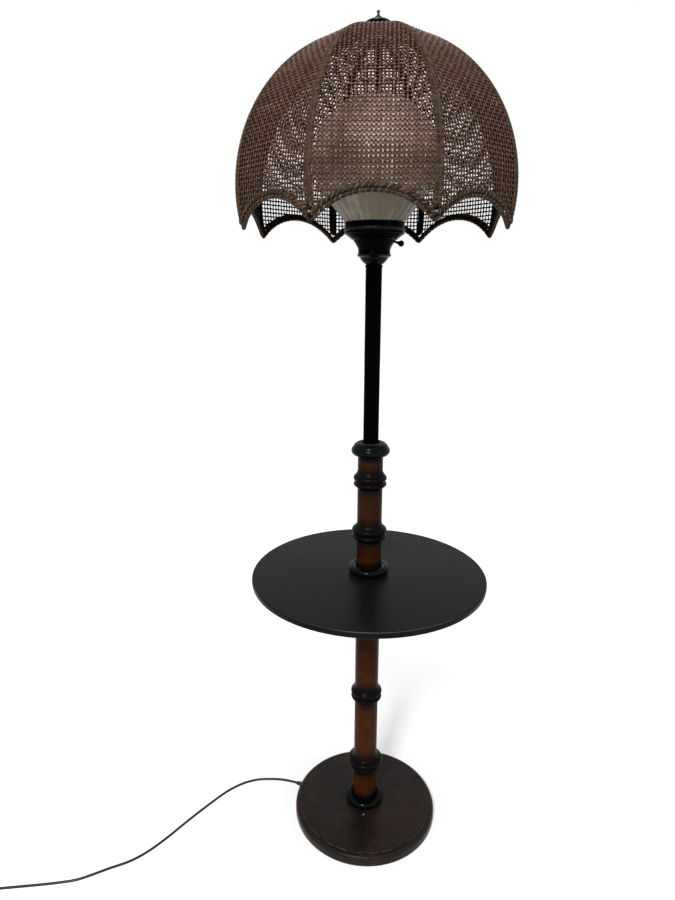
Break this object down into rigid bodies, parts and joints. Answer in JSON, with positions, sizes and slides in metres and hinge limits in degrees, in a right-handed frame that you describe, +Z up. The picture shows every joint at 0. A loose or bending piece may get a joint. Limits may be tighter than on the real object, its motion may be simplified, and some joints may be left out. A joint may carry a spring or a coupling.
{
  "type": "floor lamp with table",
  "caption": "Floor lamp with a round table on its turned column, a reeded tube, a pleated milk-glass globe and a scalloped woven-cane dome shade.",
  "frame": {"origin": "centre of the base's underside, on the floor", "axes": "+Z up along the column; -Y towards the viewer of the picture; the mains lead leaves the base towards -X"},
  "size_m": [0.946, 0.5395, 1.4104],
  "materials": {
    "felt": "dark green felt",
    "base_wood": "black-brown lacquer, worn through at the edges",
    "iron": "as cast",
    "zinc_steel": "zinc plated",
    "black_rubber": "moulded",
    "lead_pvc": "smooth black-brown sheath",
    "gloss_enamel": "gloss black enamel",
    "column_wood": "brown varnish shaded to black at the nodes",
    "table_lacquer": "satin black lacquer",
    "black_enamel": "black enamel",
    "brass": "plain",
    "black_phenolic": "moulded",
    "bulb_cap_metal": "plain",
    "bulb_glass": "frosted",
    "milk_glass": "milk glass, gloss",
    "frame_steel": "dark lacquer",
    "cane": "stained woven cane",
    "binding_strip": "grey-brown peeled cane strip",
    "rim_wrap": "wrapped cane, stitched",
    "blade_brass": "bright"
  },
  "bodies": {
    "stand": {"base_felt": "felt", "base": "base_wood", "base_weight": "iron", "base_washer": "zinc_steel", "base_nut": "zinc_steel", "lead_sleeve": "black_rubber", "inner_lead": "lead_pvc", "base_collar": "gloss_enamel", "lower_column": "column_wood", "table_flange": "gloss_enamel", "table_top": "table_lacquer", "table_collar": "gloss_enamel", "upper_column": "column_wood", "top_collar": "gloss_enamel", "reeded_tube": "black_enamel", "tube_ring": "black_enamel", "threaded_pipe": "zinc_steel", "fluted_cup": "black_enamel", "glass_holder": "black_enamel", "holder_nut": "zinc_steel", "lamp_cluster": "brass", "switch_bushing": "brass", "candle_sockets": "black_phenolic", "bulb_caps": "bulb_cap_metal", "bulbs": "bulb_glass", "glass_globe": "milk_glass", "globe_washer": "black_rubber", "globe_nut": "brass", "shade_rod": "black_enamel", "shade_rest_nut": "zinc_steel", "cord_lead": "lead_pvc", "cord_coil": "lead_pvc", "plug_body": "lead_pvc", "plug_blades": "blade_brass"},
    "shade": {"shade_top_ring": "zinc_steel", "shade_ribs": "frame_steel", "shade_rim_wire": "frame_steel", "shade_panel_1": "cane", "shade_panel_2": "cane", "shade_panel_3": "cane", "shade_panel_4": "cane", "shade_panel_5": "cane", "shade_panel_6": "cane", "shade_panel_7": "cane", "shade_panel_8": "cane", "seam_bindings": "binding_strip", "rim_binding": "rim_wrap", "shade_cap": "black_enamel"},
    "finial": {"finial": "black_enamel"},
    "switch": {"switch_knob": "black_enamel"}
  },
  "joints": [
    {"name": "shade_turn", "type": "hinge", "parent": "stand", "child": "shade", "pos_m": [0, 0, 1.388], "axis": [0, 0, 1], "continuous": true},
    {"name": "finial_turn", "type": "hinge", "parent": "stand", "child": "finial", "pos_m": [0, 0, 1.401], "axis": [0, 0, 1], "continuous": true},
    {"name": "switch_turn", "type": "hinge", "parent": "stand", "child": "switch", "pos_m": [0.0425, 0, 1.08541], "axis": [0.9659, 0, -0.2588], "continuous": true}
  ]
}
